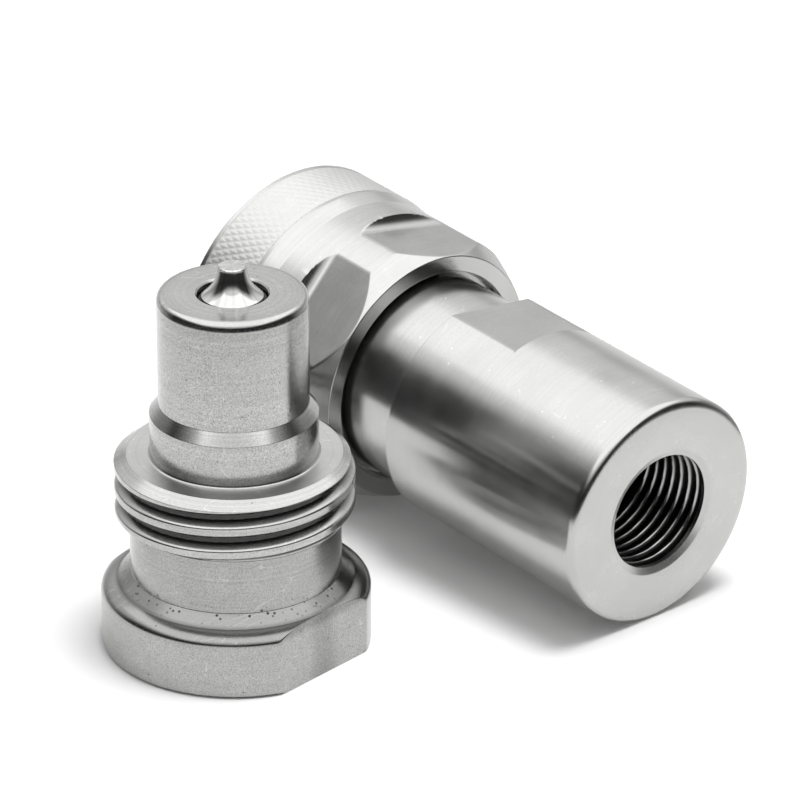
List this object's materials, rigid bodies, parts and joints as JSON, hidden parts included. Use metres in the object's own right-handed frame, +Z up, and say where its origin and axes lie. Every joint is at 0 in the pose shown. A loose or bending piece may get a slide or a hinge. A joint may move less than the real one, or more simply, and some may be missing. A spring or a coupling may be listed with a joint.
{
  "type": "hydraulic quick coupler",
  "caption": "Screw-to-connect hydraulic quick coupler: a threaded nipple and a mating coupler with a turning hexagon and knurled sleeve, each closed by a sprung poppet valve.",
  "frame": {"origin": "centre of the nipple's port mouth, on the surface that both halves rest on", "axes": "+Z up along the nipple; the coupler lies behind it along X, with its open end towards -X"},
  "size_m": [0.0895, 0.0941, 0.0613],
  "materials": {
    "machined_steel": "turned and milled bare steel, satin",
    "polished_steel": "polished bare steel",
    "spring_steel": "drawn spring wire",
    "seal_rubber": "matte moulded rubber",
    "backup_plastic": "plain white plastic ring"
  },
  "bodies": {
    "housing": {"nipple_adapter": "machined_steel", "nipple_body": "machined_steel", "port_adapter": "machined_steel", "socket_body": "machined_steel", "nipple_valve_guide": "machined_steel", "nipple_guide_clip": "spring_steel", "nipple_spring": "spring_steel", "nipple_joint_seal": "seal_rubber", "coupler_valve_guide": "machined_steel", "coupler_guide_clip": "spring_steel", "coupler_spring": "spring_steel", "coupler_joint_seal": "seal_rubber", "sleeve_stop_ring": "spring_steel", "bore_seal": "seal_rubber", "backup_ring": "backup_plastic"},
    "sleeve": {"coupling_sleeve": "machined_steel"},
    "nipple_valve": {"nipple_poppet": "polished_steel", "nipple_poppet_seal": "seal_rubber"},
    "coupler_valve": {"coupler_poppet": "polished_steel", "coupler_poppet_seal": "seal_rubber"}
  },
  "joints": [
    {"name": "sleeve_turn", "type": "hinge", "parent": "housing", "child": "sleeve", "pos_m": [-0.01531, 0.05135, 0.02133], "axis": [-0.9983, 0, 0.0577], "continuous": true},
    {"name": "nipple_poppet_slide", "type": "slide", "parent": "housing", "child": "nipple_valve", "axis": [0, 0, -1], "range_m": [0, 0.0045], "stiffness_N_per_m": 1500, "springref_m": -0.009, "deforming": ["nipple_spring"]},
    {"name": "coupler_poppet_slide", "type": "slide", "parent": "housing", "child": "coupler_valve", "axis": [0.9983, 0, -0.0577], "range_m": [0, 0.0045], "stiffness_N_per_m": 1500, "springref_m": -0.009, "deforming": ["coupler_spring"]}
  ]
}
